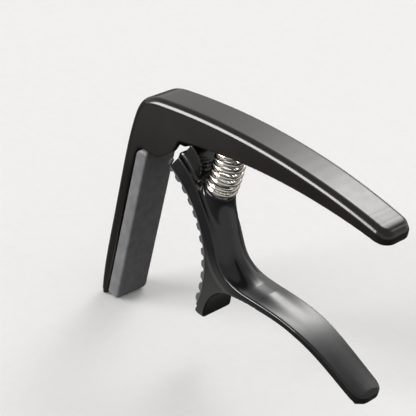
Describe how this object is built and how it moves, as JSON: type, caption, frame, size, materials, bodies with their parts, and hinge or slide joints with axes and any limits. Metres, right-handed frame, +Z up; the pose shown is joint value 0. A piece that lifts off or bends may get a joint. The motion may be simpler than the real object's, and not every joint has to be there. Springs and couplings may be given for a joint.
{
  "type": "guitar capo",
  "caption": "Trigger capo: a string bar with a padded face and upper handle, hinged to a curved padded jaw with a lower handle and opened against a coil spring.",
  "frame": {"origin": "centre of the string pad's contact face, in the capo's middle plane", "axes": "+Z up, along the string bar towards the hinge; +X from the string pad towards the back of the neck and the handle ends; +Y across the capo, along the guitar neck"},
  "size_m": [0.0954, 0.0136, 0.074],
  "materials": {
    "frame_black": "gloss black anodised or electroplated zinc alloy",
    "lever_black": "gloss black, as the frame",
    "pad_string": "matt dark grey silicone",
    "pad_neck": "matt dark grey silicone",
    "pin_steel": "plain steel",
    "spring_steel": "bright nickel-plated spring wire"
  },
  "bodies": {
    "frame": {"frame": "frame_black", "string_pad": "pad_string", "hinge_pin": "pin_steel", "coil_spring": "spring_steel"},
    "lever": {"jaw_lever": "lever_black", "neck_pad": "pad_neck"}
  },
  "joints": [
    {"name": "jaw_hinge", "type": "hinge", "parent": "frame", "child": "lever", "pos_m": [0.0026, 0, 0.0314], "axis": [0, -1, 0], "range_deg": [-31, 13], "stiffness_Nm_per_rad": 3, "springref_deg": -37.24, "deforming": ["coil_spring"]}
  ]
}
